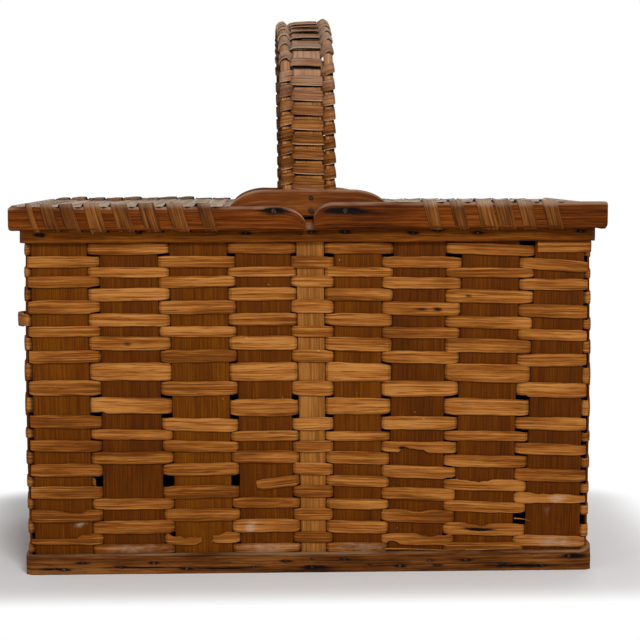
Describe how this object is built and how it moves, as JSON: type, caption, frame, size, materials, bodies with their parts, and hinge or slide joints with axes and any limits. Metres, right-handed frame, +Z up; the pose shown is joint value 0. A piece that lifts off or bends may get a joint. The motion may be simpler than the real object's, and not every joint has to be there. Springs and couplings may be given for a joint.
{
  "type": "picnic basket",
  "caption": "Rectangular woven splint basket with two half lids that turn up on nails beside a wrapped arched handle, for carrying food.",
  "frame": {"origin": "on the ground under the middle of the basket", "axes": "+X along the length, to the right lid; +Y from the front wall to the back wall; +Z up"},
  "size_m": [0.42, 0.2814, 0.403],
  "materials": {
    "stake_splint": "split wood, dark aged varnish",
    "weaver_splint": "split wood, aged honey varnish",
    "rim_wood": "sawn strips, worn dark varnish",
    "handle_splint": "split wood, greyed and worn by hands",
    "lid_splint": "split wood, greyed and dry",
    "nail_iron": "rusted iron"
  },
  "bodies": {
    "basket": {"front_stake_1": "stake_splint", "front_stake_2": "stake_splint", "front_stake_3": "stake_splint", "front_stake_4": "stake_splint", "front_stake_5": "stake_splint", "front_stake_6": "stake_splint", "front_stake_7": "stake_splint", "front_stake_8": "stake_splint", "end_stake_1": "stake_splint", "end_stake_2": "stake_splint", "end_stake_3": "stake_splint", "end_stake_4": "stake_splint", "end_stake_5": "stake_splint", "weaver_01": "weaver_splint", "weaver_02": "weaver_splint", "weaver_03": "weaver_splint", "weaver_04": "weaver_splint", "weaver_05": "weaver_splint", "weaver_06": "weaver_splint", "weaver_07": "weaver_splint", "weaver_08": "weaver_splint", "weaver_09": "weaver_splint", "weaver_10": "weaver_splint", "weaver_11": "weaver_splint", "weaver_12": "weaver_splint", "weaver_13": "weaver_splint", "weaver_14": "weaver_splint", "weaver_15": "weaver_splint", "weaver_16": "weaver_splint", "weaver_17": "weaver_splint", "weaver_18": "weaver_splint", "weaver_19": "weaver_splint", "weaver_20": "weaver_splint", "weaver_21": "weaver_splint", "weaver_22": "weaver_splint", "weaver_23": "weaver_splint", "weaver_24": "weaver_splint", "weaver_25": "weaver_splint", "outer_rim": "rim_wood", "inner_rim": "rim_wood", "foot_band": "rim_wood", "handle_hoop": "handle_splint", "left_handle_rod": "handle_splint", "right_handle_rod": "handle_splint", "handle_wrap": "handle_splint", "front_hinge_ear": "rim_wood", "back_hinge_ear": "rim_wood", "left_front_pivot_nail": "nail_iron", "left_back_pivot_nail": "nail_iron", "right_front_pivot_nail": "nail_iron", "right_back_pivot_nail": "nail_iron"},
    "left_lid": {"left_lid_front_rail": "rim_wood", "left_lid_back_rail": "rim_wood", "left_lid_end_rail": "rim_wood", "left_lid_mat": "lid_splint"},
    "right_lid": {"right_lid_front_rail": "rim_wood", "right_lid_back_rail": "rim_wood", "right_lid_end_rail": "rim_wood", "right_lid_mat": "lid_splint"}
  },
  "joints": [
    {"name": "left_lid_hinge", "type": "hinge", "parent": "basket", "child": "left_lid", "pos_m": [-0.025, 0, 0.2592], "axis": [0, 1, 0], "range_deg": [0, 90]},
    {"name": "right_lid_hinge", "type": "hinge", "parent": "basket", "child": "right_lid", "pos_m": [0.025, 0, 0.2592], "axis": [0, -1, 0], "range_deg": [0, 90]}
  ]
}
